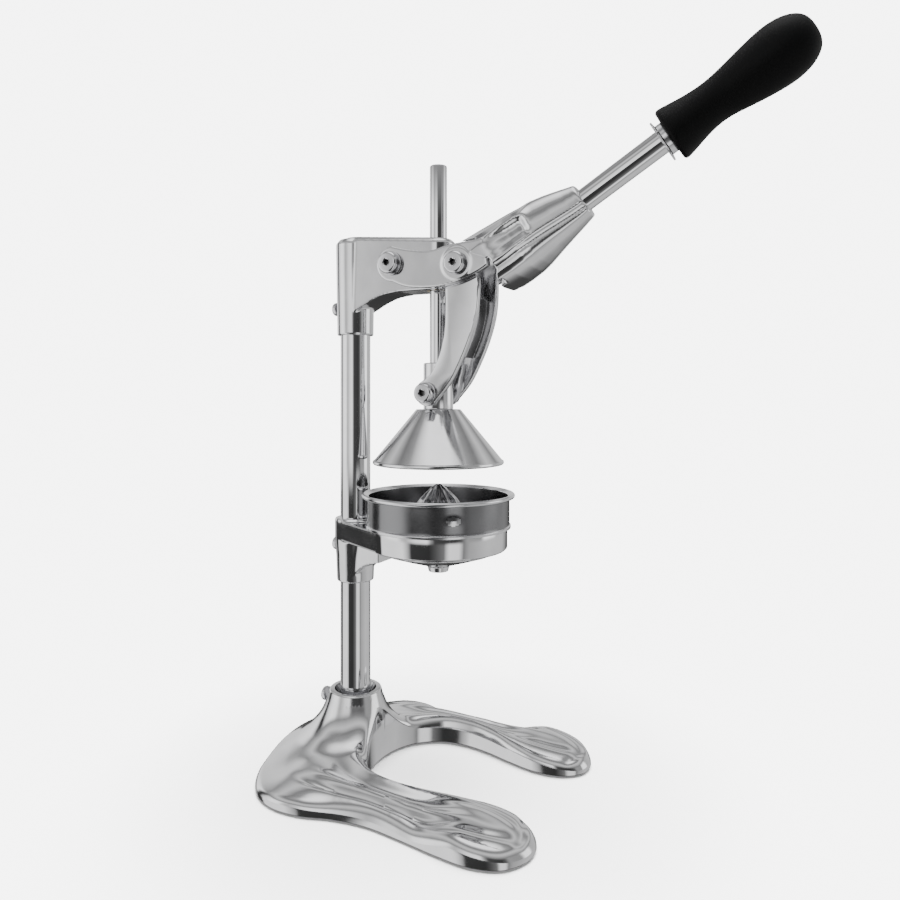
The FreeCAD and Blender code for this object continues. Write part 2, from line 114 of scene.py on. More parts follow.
def metal(name, tone, rough, wave=0.0, wave_scale=30.0, brush=(900.0, 900.0, 60.0), brush_depth=0.00001):
    """Metal with cloudy polish, fine hairlines and, where it has any, the slow waves of hand polishing.

    rough is the range of roughness, and brush how fine the hairlines are along X, Y and Z.
    """
    mat, tree, skin = nodes_of(name)
    skin.inputs["Metallic"].default_value = 1.0
    flat = place(tree)
    cloud = noise(tree, flat, scale=60.0, detail=4.0)
    dark = tuple(c * 0.90 for c in tone) + (1,)
    tree.links.new(ramp(tree, cloud, [(0.3, dark), (0.7, tuple(tone) + (1,))]), skin.inputs["Base Color"])
    fine = noise(tree, flat, scale=420.0, detail=5.0, rough=0.65)
    mix = add(tree, "ShaderNodeMix", data_type="FLOAT")
    mix.inputs["Factor"].default_value = 0.4
    tree.links.new(cloud, mix.inputs["A"])
    tree.links.new(fine, mix.inputs["B"])
    low, high = rough
    tree.links.new(ramp(tree, mix.outputs["Result"], [(0.32, low), (0.72, high)]), skin.inputs["Roughness"])
    lines = noise(tree, place(tree, brush), scale=1.0, detail=2.0, rough=0.6)
    normal = bump(tree, lines, brush_depth, strength=0.35)
    if wave:
        slow = noise(tree, flat, wave_scale, detail=1.5, rough=0.4)
        normal = bump(tree, slow, wave, strength=1.0, under=normal)
    tree.links.new(normal, skin.inputs["Normal"])
    return mat


CAST = metal("polished_casting", (0.70, 0.70, 0.71), (0.08, 0.17), wave=0.00005,
             brush=(500.0, 500.0, 500.0))
CAST_FLAT = metal("polished_casting_flat", (0.68, 0.68, 0.69), (0.07, 0.17), wave=0.00006,
                  brush=(120.0, 500.0, 900.0))
TUBE = metal("polished_tube", (0.74, 0.74, 0.75), (0.03, 0.09), brush=(700.0, 700.0, 12.0))
TURNED = metal("turned_casting", (0.74, 0.74, 0.75), (0.03, 0.07), wave=0.00004,
               brush=(12.0, 12.0, 500.0), brush_depth=0.000004)
# satin steel of the cup and its floor, made dark as painted shade; the rim, bead and dimple get the lighter
# screw steel as painted highlight
CUP_SHADED = metal("cup_steel_painted_shade", (0.20, 0.20, 0.205), (0.17, 0.25), wave=0.00004, wave_scale=45.0,
            brush=(12.0, 12.0, 900.0), brush_depth=0.000003)
SCREW = metal("screw_steel", (0.66, 0.66, 0.675), (0.10, 0.22), brush=(300.0, 300.0, 300.0))
# dark steel for the inside of the screw sockets: painted shade of the recess
SOCKET_SHADE = metal("screw_socket_painted_shade", (0.14, 0.14, 0.14), (0.3, 0.5))
BRASS = metal("bush_bronze", (0.60, 0.47, 0.27), (0.18, 0.36), brush=(100.0, 900.0, 100.0))


def rubber(name, tone, rough, grain):
    """Matt moulded rubber with a cloudy tone and fine pores."""
    mat, tree, skin = nodes_of(name)
    flat = place(tree)
    cloud = noise(tree, flat, scale=45.0, detail=4.0)
    low = tuple(c * 0.72 for c in tone) + (1,)
    tree.links.new(ramp(tree, cloud, [(0.3, low), (0.7, tuple(tone) + (1,))]), skin.inputs["Base Color"])
    tree.links.new(ramp(tree, cloud, [(0.3, rough[0]), (0.7, rough[1])]), skin.inputs["Roughness"])
    skin.inputs["Specular IOR Level"].default_value = 0.10
    pores = noise(tree, flat, grain, detail=3.0, rough=0.7)
    tree.links.new(bump(tree, pores, distance=0.00012, strength=0.5), skin.inputs["Normal"])
    return mat


GRIP = rubber("moulded_grip", (0.0022, 0.0022, 0.0023), (0.46, 0.62), 2600.0)
PAD = rubber("rubber_pad", (0.01, 0.01, 0.01), (0.6, 0.75), 1500.0)


# ---- meshes
def piece(name, verts, faces, mat, body, smooth=40.0, cad=(), slot=None):
    """Mesh object from points in millimetres, in the shared frame, riding on a body."""
    mesh = bpy.data.meshes.new(name)
    mesh.from_pydata([(x * MM, y * MM, z * MM) for x, y, z in verts], [], faces)
    mesh.validate()
    obj = bpy.data.objects.new(name, mesh)
    bpy.context.scene.collection.objects.link(obj)
    return dress(obj, mat, body, smooth, cad)


def dress(obj, mat, body, smooth=40.0, cad=()):
    """Shade a finished mesh, and say what it rides on, replaces and is made of."""
    mesh = obj.data
    work = bmesh.new()
    work.from_mesh(mesh)
    bmesh.ops.recalc_face_normals(work, faces=work.faces)
    work.to_mesh(mesh)
    work.free()
    mesh.shade_smooth()
    if smooth < 180:
        mesh.set_sharp_from_angle(angle=math.radians(smooth))
    if mat is not None and not mesh.materials:
        mesh.materials.append(mat)
    if body:
        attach(obj, body)
    if cad:
        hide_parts(*cad)
    return obj


def frame_at(x, y, z, axis):
    """Rotation and place that carry local +Z onto an axis."""
    turn = Vector((0, 0, 1)).rotation_difference(Vector(axis).normalized()).to_matrix().to_4x4()
    return Matrix.Translation((x, y, z)) @ turn


def on_handle(t, n=0.0):
    """Point at t along the handle's axis and n above it."""
    return (HANDLE_AT[0] + t * math.cos(HANDLE) - n * math.sin(HANDLE), 0.0,
            HANDLE_AT[1] + t * math.sin(HANDLE) + n * math.cos(HANDLE))


HANDLE_DIR = (math.cos(HANDLE), 0, math.sin(HANDLE))


def rounded(points, radius, steps=4, closed=False):
    """Polyline with its corners turned into arcs; radius is one number or one per corner."""
    n = len(points)
    radii = radius if isinstance(radius, (list, tuple)) else [radius] * n
    out = []
    for i, p in enumerate(points):
        if (not closed and i in (0, n - 1)) or radii[i] <= 0:
            out.append(tuple(p))
            continue
        a = Vector(points[i - 1]) - Vector(p)
        b = Vector(points[(i + 1) % n]) - Vector(p)
        angle = a.angle(b)
        if angle > math.pi - 0.02:
            out.append(tuple(p))
            continue
        cut = min(radii[i] / math.tan(angle / 2), 0.48 * a.length, 0.48 * b.length)
        p0, p1, p = Vector(p) + a.normalized() * cut, Vector(p) + b.normalized() * cut, Vector(p)
        for k in range(steps + 1):
            t = k / steps
            out.append(tuple(p0 * (1 - t) ** 2 + p * 2 * t * (1 - t) + p1 * t * t))
    return out


def rings_mesh(rings, wrap=False):
    """Skin a list of equally long closed rings; its ends are capped, or joined if it wraps round."""
    n = len(rings[0])
    verts = [v for ring in rings for v in ring]
    faces = []
    last = len(rings) if wrap else len(rings) - 1
    for j in range(last):
        a, b = j * n, ((j + 1) % len(rings)) * n
        for k in range(n):
            m = (k + 1) % n
            faces.append((a + k, a + m, b + m, b + k))
    if not wrap:
        faces.append(tuple(range(n - 1, -1, -1)))
        faces.append(tuple(range((len(rings) - 1) * n, len(rings) * n)))
    return verts, faces


def circle(to, r, h, count, shape=None):
    """Ring at radius r and height h in the local frame; shape(angle, r, h) may bend the radius."""
    ring = []
    for k in range(count):
        a = 2 * math.pi * k / count
        bent = shape(a, r, h) if shape else r
        ring.append(tuple(to @ Vector((bent * math.cos(a), bent * math.sin(a), h))))
    return ring


def lathe_rings(profile, at=(ROD_X, 0, 0), axis=(0, 0, 1), segments=96, shape=None):
    """Rings of a turned form; profile holds (radius, height)."""
    to = frame_at(*at, axis)
    return [circle(to, r, h, segments, shape) for r, h in profile]


def lathe(name, profile, mat, body, at=(ROD_X, 0, 0), axis=(0, 0, 1), segments=96, closed=False,
          shape=None, smooth=38.0, cad=(), slot=None):
    """Turned visible piece; a closed profile is a ring round the axis."""
    rings = lathe_rings(profile, at, axis, segments, shape)
    return piece(name, *rings_mesh(rings, closed), mat, body, smooth, cad, slot)


def curve_points(points, count, closed=False):
    """Catmull-Rom samples through points of any dimension."""
    pts = [Vector(p) for p in points]
    n = len(pts)
    spans = n if closed else n - 1
    out = []
    for s in range(count if closed else count + 1):
        u = s / count * spans
        i = min(int(u), spans - 1)
        t = u - i
        if closed:
            p0, p1, p2, p3 = (pts[(i + d) % n] for d in (-1, 0, 1, 2))
        else:
            p0, p1, p2, p3 = (pts[min(max(i + d, 0), n - 1)] for d in (-1, 0, 1, 2))
        out.append(0.5 * (2 * p1 + (p2 - p0) * t + (2 * p0 - 5 * p1 + 4 * p2 - p3) * t * t
                          + (3 * p1 - p0 - 3 * p2 + p3) * t ** 3))
    return [tuple(p) for p in out]


def plate_mesh(outline, y0, y1):
    """Flat plate from an XZ outline between two Y planes."""
    n = len(outline)
    verts = [(x, y0, z) for x, z in outline] + [(x, y1, z) for x, z in outline]
    faces = [tuple(range(n)), tuple(range(2 * n - 1, n - 1, -1))]
    faces += [(k, n + k, n + (k + 1) % n, (k + 1) % n) for k in range(n)]
    return verts, faces


def loose(name, verts, faces):
    """Object not yet given to a body, to be joined or cut."""
    return piece(name, verts, faces, None, None, 180)


def solid_lathe(name, profile, at=(ROD_X, 0, 0), axis=(0, 0, 1), segments=72):
    """Turned closed solid, to be joined or cut."""
    return loose(name, *rings_mesh(lathe_rings(profile, at, axis, segments)))


def disc(name, r, y0, y1, x, z, edge=0.8):
    """Round boss or hole across the object, with softened edges."""
    prof = rounded([(HUB, 0), (r, 0), (r, y1 - y0), (HUB, y1 - y0)], edge, 3)
    return solid_lathe(name, prof, (x, y0, z), (0, 1, 0), 72)


def take(obj, kind, name, **values):
    """Add a modifier with its settings."""
    mod = obj.modifiers.new(name, kind)
    for key, value in values.items():
        setattr(mod, key, value)
    return mod


def freeze(obj):
    """Apply every modifier of a working object."""
    deps = bpy.context.evaluated_depsgraph_get()
    mesh = bpy.data.meshes.new_from_object(obj.evaluated_get(deps))
    old = obj.data
    obj.modifiers.clear()
    obj.data = mesh
    bpy.data.meshes.remove(old)
    return obj


def minus(obj, *cutters, solver="EXACT"):
    """Cut every cutter out of a solid, and remove the cutters."""
    for cutter in cutters:
        take(obj, "BOOLEAN", "cut", operation="DIFFERENCE", object=cutter, solver=solver)
    freeze(obj)
    for cutter in cutters:
        bpy.data.objects.remove(cutter)
    return obj


def merged(name, shapes):
    """One object with the faces of several, which are removed."""
    work = bmesh.new()
    for shape in shapes:
        work.from_mesh(shape.data)
        bpy.data.objects.remove(shape)
    mesh = bpy.data.meshes.new(name)
    work.to_mesh(mesh)
    work.free()
    obj = bpy.data.objects.new(name, mesh)
    bpy.context.scene.collection.objects.link(obj)
    return obj


def cast(name, shapes, voxel, rounds):
    """Blend overlapping closed shapes into one soft-edged casting."""
    obj = merged(name, shapes)
    take(obj, "REMESH", "skin", mode="VOXEL", voxel_size=voxel * MM)
    take(obj, "SMOOTH", "soften", iterations=rounds, factor=0.5)
    return freeze(obj)


# ---- base casting
# plan outline of one half, from the middle of the rear round the toe to the notch between the legs
HALF = [(-55, 0), (-53, 28), (-45, 55), (-28, 77), (-8, 86.5), (14, 86.5), (36, 80), (60, 77),
        (86, 79.5), (112, 83), (134, 84), (152, 77.5), (162, 62), (160, 46), (146, 36), (128, 34.5),
        (108, 39), (88, 45), (69, 48), (50, 45.5), (34.5, 35), (25, 19), (22, 0)]
SPAN_STEPS = 12  # samples between two points of the outline
TOE_SPAN = 12.3  # where the outer side turns into the inner side, counted in points
FLOOR_GAP = 1.5  # the pads hold the casting this far above the table
FOOT_EDGE = 0.8  # chamfer under the rim
RIM = 4.0  # radius of the rounded rim
RIM_STEPS = [0.0, 0.1, 0.36, 0.8, 1.45, 2.3, 3.2, RIM]  # how far in from the outline it is sampled
GRID = 1.1  # spacing of the skin's triangular grid
GRID_ROW = 0.866  # height of its triangles for a side of 1
GRID_CLEAR = 0.6  # the grid stops this far inside the rim
CALM_STEPS = 10  # rounds of smoothing on the grid


def smooth_step(x, a, b):
    """Eased step from 0 at a to 1 at b."""
    t = np.clip((x - a) / (b - a), 0, 1)
    return t * t * (3 - 2 * t)


def bell(x, centre, width):
    """Hump of height 1."""
    return np.exp(-((x - centre) / width) ** 2)


def soft(x, xs, ys, blur):
    """Interpolation through a table whose corners are rounded over the given distance."""
    grid = np.linspace(xs[0] - 4 * blur, xs[-1] + 4 * blur, 1500)
    step = grid[1] - grid[0]
    reach = int(3 * blur / step)
    kernel = np.exp(-0.5 * (np.arange(-reach, reach + 1) * step / blur) ** 2)
    rough = np.pad(np.interp(grid, xs, ys), reach, mode="edge")
    return np.interp(x, grid, np.convolve(rough, kernel / kernel.sum(), "valid"))


def distance(points, line):
    """Distance of every point from an open polyline."""
    best = np.full(len(points), 1e9)
    for a, b in zip(line[:-1], line[1:]):
        d = b - a
        t = np.clip(((points - a) @ d) / (d @ d), 0, 1)
        gap = points - a - t[:, None] * d
        best = np.minimum(best, gap[:, 0] ** 2 + gap[:, 1] ** 2)
    return np.sqrt(best)


def base_height(p, outer, inner):
    """Height of the skin at plan points, before the rim is rounded off."""
    x, y = p[:, 0], np.abs(p[:, 1])
    r = np.hypot(p[:, 0], p[:, 1])
    d_out, d_in = distance(p, outer), distance(p, inner)
    toe = smooth_step(x, 92, 126)
    rear = 1 - smooth_step(x, -12, 34)
    # along the leg: height of its crest
    crest = soft(x, [-55, -20, 15, 50, 85, 115, 140, 154, 165],
                 [12, 15, 21, 21.5, 20, 18, 15.5, 13.5, 11], 7)
    # across the leg: inner rim at 0, first ridge, long hollow, second ridge, the fold at 1, the apron to 2
    across = d_in / (d_in + d_out + 1e-6)
    fold = 0.70
    w = np.where(across < fold, across / fold, 1 + (across - fold) / (1 - fold))
    leg = soft(w, [0, 0.10, 0.20, 0.30, 0.50, 0.70, 0.82, 0.90, 0.99, 1.08, 1.18, 1.5, 2.0],
               [-6.0, -2.2, -0.2, -1.2, -4.6, -4.8, -2.6, -2.6, -9.4, -9.8, -7.0, -8.4, -12.6], 0.020)
    near_rim = np.minimum(d_in, d_out)
    pad = soft(near_rim, [0, 2, 5, 9, 15, 21, 30], [-5.4, -3.4, -1.8, -0.7, 0.0, 0.3, 0.3], 1.5)
    back = soft(w, [0, 0.4, 0.8, 1.0, 1.1, 2.0], [3, 2.2, -0.6, -3.4, -3.6, -8.5], 0.04)
    z = crest + leg * (1 - toe) + pad * toe
    z = z * (1 - rear) + (crest + back) * rear
    # mound round the column, fluted by shoulder lines that run down from the collar into the ridges
    mound = soft(r, [0, 19.4, 21, 24, 28, 34, 42, 52, 66, 90],
                 [50.4, 50.4, 44.5, 37.0, 30.6, 24.0, 17.6, 12.0, 5, 0], 0.9)
    around = np.degrees(np.arctan2(y, p[:, 0]))
    flute = 0.5 * (bell(around, 50, 10) - 0.9 * bell(around, 75, 11) + 0.9 * bell(around, 102, 12)
                   - 0.9 * bell(around, 132, 14))
    mound = mound + flute * smooth_step(r, 21, 32) * (1 - smooth_step(r, 54, 72))
    fillet = 2.2
    z = fillet * np.log(np.exp(z / fillet) + np.exp(mound / fillet))
    # groove that starts beside the leg and wraps round the almond-shaped field of the toe
    middle = 61.0 - 0.06 * (x - 118)
    reach = np.sqrt(((x - 117) / 37) ** 2 + ((y - middle) / 13.0) ** 2)
    z = z - 1.0 * bell(reach, 1.0, 0.14) * smooth_step(x, 76, 98)
    # low ripple along the field
    slant = middle + 0.10 * (x - 118)
    ripple = bell(y, slant + 2.0, 3.6) - 0.8 * bell(y, slant - 4.6, 3.2)
    z = z + 0.22 * ripple * (1 - smooth_step(reach, 0.25, 0.85))
    # crescent near the end of the toe, on its inner side
    c = np.hypot(x - 112, y - 63)
    return z - 1.2 * bell(c, 43.5, 1.9) * (1 - smooth_step(y, 60, 70)) * smooth_step(y, 37, 44) * (x > 130)


def grid_within(line):
    """Points of a triangular grid that lie inside a closed line."""
    rows = []
    for row in range(-100, 101):
        y = row * GRID * GRID_ROW
        x = np.arange(-60, 170, GRID) + (row % 2) * GRID / 2
        rows.append(np.stack([x, np.full(len(x), y)], 1))
    points = np.concatenate(rows)
    within = np.zeros(len(points), bool)
    for (x0, y0), (x1, y1) in zip(line, np.roll(line, -1, 0)):
        if y0 != y1:
            crosses = (y0 > points[:, 1]) != (y1 > points[:, 1])
            within ^= crosses & (points[:, 0] < x0 + (points[:, 1] - y0) * (x1 - x0) / (y1 - y0))
    return points[within]


def base_solid():
    """Closed skin: foot, rounded rim, and a smoothed grid over the field inside the rim."""
    ring = HALF + [(x, -y) for x, y in HALF[-2:0:-1]]
    outline = np.array(curve_points(ring, len(ring) * SPAN_STEPS, closed=True))
    tip = int(SPAN_STEPS * TOE_SPAN)
    outer = np.concatenate([outline[-tip:], outline[:tip + 1]])
    inner = outline[tip:-tip + 1]
    tangent = np.roll(outline, -1, 0) - np.roll(outline, 1, 0)
    tangent /= np.linalg.norm(tangent, axis=1)[:, None]
    inward = np.stack([tangent[:, 1], -tangent[:, 0]], 1)
    rings = [outline + inward * d for d in RIM_STEPS]
    n = len(outline)

    seeds = grid_within(rings[-1])
    seeds = seeds[distance(seeds, np.concatenate([outline, outline[:1]])) > RIM + GRID_CLEAR]
    flat = [Vector(p) for p in rings[-1]] + [Vector(p) for p in seeds]
    edges = [(i, (i + 1) % n) for i in range(n)]
    points, _, triangles = delaunay_2d_cdt(flat, edges, [], 1, 1e-5)[:3]
    field = np.array([tuple(v) for v in points])

    verts = [(x, y, FLOOR_GAP) for x, y in outline + inward * FOOT_EDGE]
    verts += [(x, y, FLOOR_GAP + FOOT_EDGE) for x, y in outline]
    for ring, d in zip(rings, RIM_STEPS):
        # a quarter round, which stays above the foot's edge where the skin is low
        drop = RIM * (1 - math.sqrt(max(0.0, 1 - (1 - d / RIM) ** 2)))
        verts += [(x, y, max(z - drop, FLOOR_GAP + 1.0 + 0.05 * d))
                  for (x, y), z in zip(ring, base_height(ring, outer, inner))]
    levels = len(RIM_STEPS) + 2
    faces = [(j * n + k, j * n + (k + 1) % n, (j + 1) * n + (k + 1) % n, (j + 1) * n + k)
             for j in range(levels - 1) for k in range(n)]
    faces.append(tuple(range(n)))
    # the first n points of the field repeat the last ring of the rim
    top = (levels - 1) * n
    start = len(verts)
    verts += [(x, y, z) for (x, y), z in zip(field[n:], base_height(field, outer, inner)[n:])]
    faces += [tuple(top + i if i < n else start + i - n for i in f) for f in triangles]
    base = loose("base_body", verts, faces)
    group = base.vertex_groups.new(name="field")
    group.add(list(range(start, len(verts))), 1.0, "REPLACE")
    take(base, "SMOOTH", "calm", vertex_group=group.name, factor=0.5, iterations=CALM_STEPS)
    return base


BORE_LINE = [(HUB, 5), (11.4, 5), (11.4, 43.5), (15.4, 51.0), (15.9, 70), (HUB, 70)]
COLLAR_LINE = [(HUB, 8), (23, 30), (21.8, 41), (19.1, 51.4), (HUB, 51.4)]
base = base_solid()
base_bore = solid_lathe("bore", BORE_LINE, (0, 0, 0))
collar = solid_lathe("boss", rounded(COLLAR_LINE, [0, 0, 3, 1.6, 0], 5), (0, 0, 0))
take(base, "BOOLEAN", "join", operation="UNION", object=collar, solver="EXACT")
base = minus(base, base_bore)
bpy.data.objects.remove(collar)
base.name = "base_skin"
dress(base, CAST, "stand", 32, ["base_casting"])

# ---- column
COLUMN_LINE = [(9.6, 12), (9.6, 372), (10.7, 372), (11.1, 371.6), (11.1, 12.4), (10.7, 12)]
lathe("column_skin", COLUMN_LINE, TUBE, "stand", (0, 0, 0), closed=True,
      segments=128, cad=["column_tube"], slot="steel_tube")


# ---- screws
SEGMENTS = 72


def hexagon(to, across, h, turn=0.0, cap=math.inf):
    """Ring round a hexagon of that width across its flats, no further out than cap."""
    def radius(a, _r, _h):
        return min(across / 2 / math.cos((a + turn) % (math.pi / 3) - math.pi / 6), cap)

    return circle(to, across / 2, h, SEGMENTS, radius)


def screw_head(name, r, h, at, axis, socket, body, cad=()):
    """Domed head with a hexagon socket, whose faces inside are painted dark as the shade of the recess."""
    to = frame_at(*at, axis)
    rise, crown = 0.50 * h, r * 0.74
    outer = [(r - 0.5, 0), (r, 0.35), (r, rise)]
    for k in range(1, 9):
        a = k / 8 * math.pi / 2
        outer.append((crown + (r - crown) * math.cos(a), rise + (h - rise) * math.sin(a)))
    socket_r = socket / math.sqrt(3)
    outer += [(socket_r + 0.65, h), (socket_r + 0.5, h - 0.15)]
    rings = [circle(to, rr, z, SEGMENTS) for rr, z in outer]
    rings += [hexagon(to, socket, h - depth, turn=0.35) for depth in (0.5, h * 0.62)]
    obj = piece(name, *rings_mesh(rings), SCREW, body, 32, cad, "fastener")
    # the faces inside the socket take the dark steel, which paints the shade of the recess
    obj.data.materials.append(SOCKET_SHADE)
    for face in obj.data.polygons:
        mid = to.inverted() @ (Vector(face.center) / MM)
        if math.hypot(mid.x, mid.y) < socket_r + 0.1 and mid.z > 0.1:
            face.material_index = 1


def hex_nut(name, across, h, at, axis, body, cad=()):
    """Chamfered nut with the end of its screw showing."""
    to = frame_at(*at, axis)
    face, chamfer = across / 2 * 0.97, 0.75
    corner = across / math.sqrt(3) + 0.1
    rings = [hexagon(to, across, z, cap=cap)
             for cap, z in ((face, 0), (corner, chamfer), (corner, h - chamfer), (face, h))]
    for r, z in ((4.1, h), (4.0, h - 0.2), (4.0, h + 0.6), (3.4, h + 1.3), (TIP, h + 1.4)):
        rings.append(circle(to, r, z, SEGMENTS))
    piece(name, *rings_mesh(rings), SCREW, body, 32, cad, "fastener")


def washer_pair(name, r, near, far, x, z, body):
    """One ring on each side of the middle plane, from near to far."""
    for side, s in (("right", -1), ("left", 1)):
        y = min(s * near, s * far)
        ring = rounded([(BOLT_R, 0), (r, 0), (r, far - near), (BOLT_R, far - near)], 0.25, 3, closed=True)
        lathe(name + "_" + side[0], ring, SCREW, body, (x, y, z), (0, 1, 0), SEGMENTS, True,
              cad=[name + "_" + side], slot="fastener")


# clamping screws of the column: owner, head radius, X, Z, width of the socket
for owner, r, x, z, width in (("base", 5.2, -25.2, 42, 4.2), ("head", 5.0, -15.2, 334, 4.0),
                              ("holder", 5.0, -15.2, 157.5, 4.0)):
    screw_head(owner + "_screw_head", r, 3.4, (x, 0, z), (-1, 0, 0), width, "stand", [owner + "_set_screw"])

# ---- head
HEAD_TOP, NOSE_TOP, HEAD_LOW = 385.5, 379.0, 342.5
ARM_HALF = 12.0  # half the thickness of the arm
BORE_R = 11.25  # hole for the column tube
BUSH_R = 8.2  # guide rod's bush
ARCH = curve_points([(0, 327.5), (10, 331.8), (20, 336.8), (31, 340.8), (44, HEAD_LOW)], 24)
ARM_TOP = [(ROD_X, HEAD_LOW), (ROD_X, NOSE_TOP), (6, HEAD_TOP), (0, HEAD_TOP)]
arm = loose("arm", *plate_mesh(ARCH + ARM_TOP, -ARM_HALF, ARM_HALF))
COLUMN_SOCKET = [(HUB, 313.4), (13.4, 313.4), (14.4, 381), (11.6, 384.5), (HUB, 384.5)]
socket = solid_lathe("socket", rounded(COLUMN_SOCKET, [0, 0.9, 2.4, 2.0, 0], 4), (0, 0, 0))
NOSE = [(HUB, HEAD_LOW), (12, HEAD_LOW), (12, NOSE_TOP - 3), (9, NOSE_TOP - 0.4), (HUB, NOSE_TOP - 0.4)]
nose = solid_lathe("nose", rounded(NOSE, [0, 1.2, 2.4, 2.0, 0], 4))
# the arm's upper edges are bevelled along its slope
slope = (NOSE_TOP - HEAD_TOP) / (ROD_X - 6)
bevels = []
for s in (1, -1):
    cut = [(s * ARM_HALF, -3.0), (s * 22.0, -3.0), (s * 22.0, 8.0), (s * 6.0, 8.0), (s * 8.4, 0.2)]
    ends = [[(x, y, HEAD_TOP + z + slope * (x - 6)) for y, z in cut] for x in (-40, 120)]
    bevels.append(loose("bevel", *rings_mesh(ends)))
arm = minus(arm, *bevels)
bosses = disc("bosses", 9.0, -18.2, 18.2, *PIVOT)
head = cast("head_skin", [arm, socket, nose, bosses], voxel=0.7, rounds=4)
head_bore = solid_lathe("bore", [(HUB, 300), (BORE_R, 300), (BORE_R, 372), (HUB, 372)], (0, 0, 0))
rod_hole = solid_lathe("rod_hole", [(HUB, 330), (BUSH_R, 330), (BUSH_R, 400), (HUB, 400)])
head = minus(head, head_bore, rod_hole)
dress(head, CAST_FLAT, "stand", 50, ["head_casting"])
ROD_BUSH = [(6.15, 343.0), (BUSH_R, 343.0), (BUSH_R, NOSE_TOP - 1), (6.15, NOSE_TOP - 1)]
lathe("rod_bush_skin", rounded(ROD_BUSH, 0.4, 3, closed=True), BRASS, "stand", closed=True, cad=["rod_bush"],
      slot="bush_brass")
PIVOT_SHANK = [(TIP, -26), (3.9, -26), (BOLT_R, -25.6), (BOLT_R, 30), (TIP, 30)]
lathe("pivot_shank", PIVOT_SHANK, SCREW, "stand", (PIVOT[0], 0, PIVOT[1]), (0, 1, 0), 48, slot="fastener")
screw_head("pivot_head", 7.7, 5.4, (PIVOT[0], -26.0, PIVOT[1]), (0, -1, 0), 4.0, "stand", ["pivot_bolt"])
washer_pair("pivot_washer", 8.4, 25.0, 26.0, *PIVOT, "stand")
hex_nut("pivot_nut_skin", 13, 5, (PIVOT[0], 26.0, PIVOT[1]), (0, 1, 0), "stand", ["pivot_nut"])

# ---- holder and funnel
CLAMP_R, SEAT_R = 15.2, 48.4  # outside of the column clamp and of the ring that holds the cup
SKIRT_LEAN = math.asin((SEAT_R - CLAMP_R) / ROD_X)


def skirt_outline(r0, r1, reach=40):
    """Teardrop round the column boss and the ring, seen from above."""
    pts = []
    for k in range(reach + 1):
        a = math.pi / 2 + SKIRT_LEAN + (math.pi - 2 * SKIRT_LEAN) * k / reach
        pts.append((r0 * math.cos(a), r0 * math.sin(a)))
    for k in range(3 * reach + 1):
        a = -(math.pi / 2 + SKIRT_LEAN) - 1e-9 + (math.pi + 2 * SKIRT_LEAN) * k / (3 * reach)
        pts.append((ROD_X + r1 * math.cos(a), r1 * math.sin(a)))
    return pts


def skirt_solid(name, r0, r1, levels):
    """Teardrop solid; levels hold (offset, height)."""
    rings = [[(x, y, z) for x, y in skirt_outline(r0 + d, r1 + d)] for d, z in levels]
    return loose(name, *rings_mesh(rings))


SKIRT_EDGE = [(-1.6, 162.4), (-0.6, 163.1), (-0.1, 164.4), (0, 166), (0, 175), (-0.3, 176.3), (-1.0, 176.8)]
shell = skirt_solid("shell", CLAMP_R, SEAT_R, SKIRT_EDGE)
pocket = skirt_solid("pocket", 11.0, 43.9, [(0, 155), (0, 171.5)])
shell = minus(shell, pocket)
CLAMP = [(HUB, 131.5), (13.6, 131.5), (14.2, 150), (CLAMP_R, 162), (CLAMP_R, 178.6), (HUB, 178.6)]
clamp = solid_lathe("clamp", rounded(CLAMP, [0, 1.2, 3, 3, 1.4, 0], 4), (0, 0, 0))
RIB = curve_points([(5, 135.2), (10, 141), (16, 145.5), (22, 147.5), (28, 148.5)], 20)
gusset = loose("gusset", *plate_mesh(RIB + [(28, 167), (0, 167), (0, 135.2)], -12, 12))
holder = cast("holder_skin", [shell, clamp, gusset], voxel=0.8, rounds=5)
SEAT = [(HUB, 120), (42.0, 120), (42.0, 167.2), (45.2, 167.2), (45.2, 190), (HUB, 190)]
seat = solid_lathe("under", SEAT, segments=128)
post_hole = solid_lathe("post_hole", [(HUB, 120), (BORE_R, 120), (BORE_R, 190), (HUB, 190)], (0, 0, 0))
holder = minus(holder, seat, post_hole)
dress(holder, CAST, "stand", 50, ["cup_holder"])

# turned outlines are (radius, height), each with the corner radii that round it
RING = [(42.2, 162.3), (47.4, 162.3), (48.45, 163.4), (48.5, 176.4), (47.9, 176.8), (45.3, 176.8),
        (45.3, 167.1), (42.2, 167.1)]
RING_R = [0.4, 0.8, 0.5, 0.3, 0.4, 0.3, 0.3, 0.3]
lathe("holder_ring", rounded(RING, RING_R, 3, closed=True), TURNED, "stand", segments=144, closed=True,
      slot="polished_cast")

FUNNEL = [(41.6, 167.1), (44.5, 167.1), (44.5, 168.4), (40.6, 168.4), (38.8, 161.6), (24, 156.6),
          (6.3, 151.2), (5.5, 145.5), (6.9, 145.5), (8, 149.6), (25, 154.7), (40.4, 159.7), (41.5, 164)]
FUNNEL_R = [0.3, 0.4, 0.4, 1, 3, 0.5, 2, 0.3, 0.4, 2, 0.5, 3, 1]
lathe("funnel_skin", rounded(FUNNEL, FUNNEL_R, 4, closed=True), CAST, "stand", segments=128, closed=True,
      cad=["drip_funnel"], slot="polished_cast")

